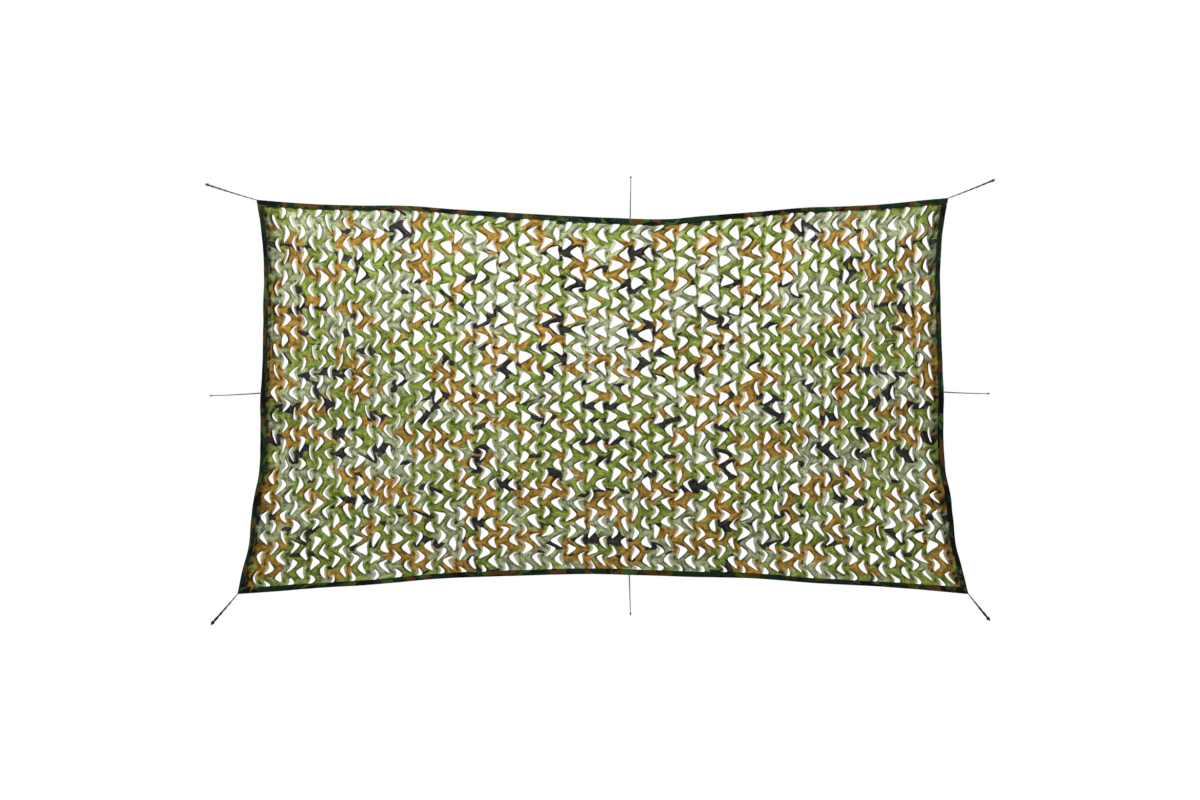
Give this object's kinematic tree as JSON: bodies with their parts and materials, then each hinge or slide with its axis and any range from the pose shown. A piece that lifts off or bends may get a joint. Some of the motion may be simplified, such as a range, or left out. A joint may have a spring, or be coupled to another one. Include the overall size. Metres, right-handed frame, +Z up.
{
  "type": "camouflage net",
  "caption": "Rectangular camouflage net hung by its top edge: slit cloth pulled open into a net, bound with folded tape and held out by cord ties at its corners and sides.",
  "frame": {"origin": "middle of the net's top edge, where it hangs", "axes": "+X to the viewer's right along the net's length, +Z up, and the net's front faces -Y"},
  "size_m": [3.4483, 0.0628, 1.9626],
  "materials": {
    "printed_cloth": "woven polyester printed in green, sage, orange-brown and black",
    "printed_tape": "folded woven tape printed in dark green, brown and black",
    "tie_cord": "thin grey-green polyester cord",
    "knotted_end": "dark knotted cord end"
  },
  "bodies": {
    "root": {"net_panel": "printed_cloth", "binding_top": "printed_tape", "binding_bottom": "printed_tape", "binding_left": "printed_tape", "binding_right": "printed_tape", "cord_top_left": "tie_cord", "cord_top_middle": "tie_cord", "cord_top_right": "tie_cord", "cord_left_middle": "tie_cord", "cord_right_middle": "tie_cord", "cord_bottom_left": "tie_cord", "cord_bottom_middle": "tie_cord", "cord_bottom_right": "tie_cord", "knot_top_left": "knotted_end", "knot_top_middle": "knotted_end", "knot_top_right": "knotted_end", "knot_left_middle": "knotted_end", "knot_right_middle": "knotted_end", "knot_bottom_left": "knotted_end", "knot_bottom_middle": "knotted_end", "knot_bottom_right": "knotted_end"}
  },
  "joints": []
}
